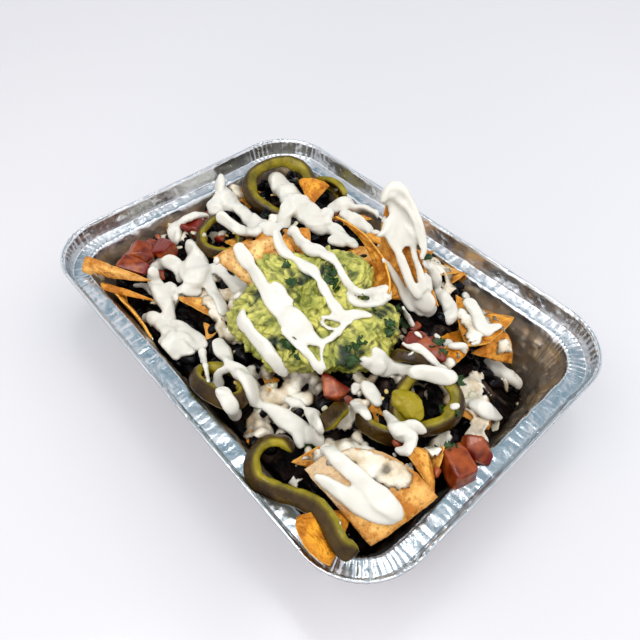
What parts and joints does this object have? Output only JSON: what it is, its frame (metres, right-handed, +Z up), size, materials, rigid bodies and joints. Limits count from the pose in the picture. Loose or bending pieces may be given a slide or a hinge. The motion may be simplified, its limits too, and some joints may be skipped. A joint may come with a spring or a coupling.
{
  "type": "loaded nachos in a foil tray",
  "caption": "Loaded nachos in an oblong foil tray: corn chips, black beans, melted cheese, jalapeno rings, tomato, a mound of guacamole and poured sour cream.",
  "frame": {"origin": "centre of the tray's flat base, on the table", "axes": "+X along the tray's long side, +Y along its short side, +Z up"},
  "size_m": [0.214, 0.152, 0.0948],
  "materials": {
    "foil": "bright rolled foil, crimped",
    "corn_chip": "fried corn, blistered",
    "jalapeno": "pickled pepper, wet",
    "tomato": "cut flesh, wet",
    "guacamole": "coarse mash, moist",
    "beans_and_cheese": "beans and melted cheese",
    "sour_cream": "smooth, soft gloss",
    "black_bean": "wet skin",
    "melted_cheese": "melted, translucent",
    "coriander": "fresh leaf",
    "onion": "raw dice, translucent"
  },
  "bodies": {
    "root": {"tray": "foil", "chip_front": "corn_chip", "chip_front_broken": "corn_chip", "chip_front_under": "corn_chip", "chip_corner": "corn_chip", "chip_sliver": "corn_chip", "chip_dollop": "corn_chip", "chip_orange": "corn_chip", "chip_tall": "corn_chip", "chip_curl": "corn_chip", "chip_guac_left": "corn_chip", "chip_back_small": "corn_chip", "chip_right_bowl": "corn_chip", "chip_right_under": "corn_chip", "chip_left_corner": "corn_chip", "chip_left_under": "corn_chip", "chip_left_side": "corn_chip", "chip_left_inner": "corn_chip", "chip_back_corner": "corn_chip", "tomato_right_upper": "tomato", "tomato_right_lower": "tomato", "tomato_middle": "tomato", "tomato_middle_right": "tomato", "tomato_under_guacamole": "tomato", "tomato_left_upper": "tomato", "tomato_left_middle": "tomato", "tomato_left_lower": "tomato", "tomato_back_left": "tomato", "jalapeno_left": "jalapeno", "jalapeno_right": "jalapeno", "jalapeno_back_left": "jalapeno", "jalapeno_back": "jalapeno", "jalapeno_front": "jalapeno", "jalapeno_strip_front": "jalapeno", "jalapeno_middle": "jalapeno", "jalapeno_right_back": "jalapeno", "jalapeno_back_strip": "jalapeno", "guacamole": "guacamole", "bean_and_cheese_heap": "beans_and_cheese", "cream_tall_chip": "sour_cream", "cream_front": "sour_cream", "cream_left_loop": "sour_cream", "cream_left_inner": "sour_cream", "cream_left_hook": "sour_cream", "cream_left_pool": "sour_cream", "cream_left_middle": "sour_cream", "cream_back_left": "sour_cream", "cream_back_middle": "sour_cream", "cream_back_right": "sour_cream", "cream_middle": "sour_cream", "cream_right_dollop": "sour_cream", "cream_right_far": "sour_cream", "cream_right_blob": "sour_cream", "cream_right_bowl": "sour_cream", "cream_centre": "sour_cream", "cream_guacamole_wide": "sour_cream", "cream_guacamole_front": "sour_cream", "cream_guacamole_back": "sour_cream", "cream_guacamole_middle": "sour_cream"}
  },
  "joints": []
}
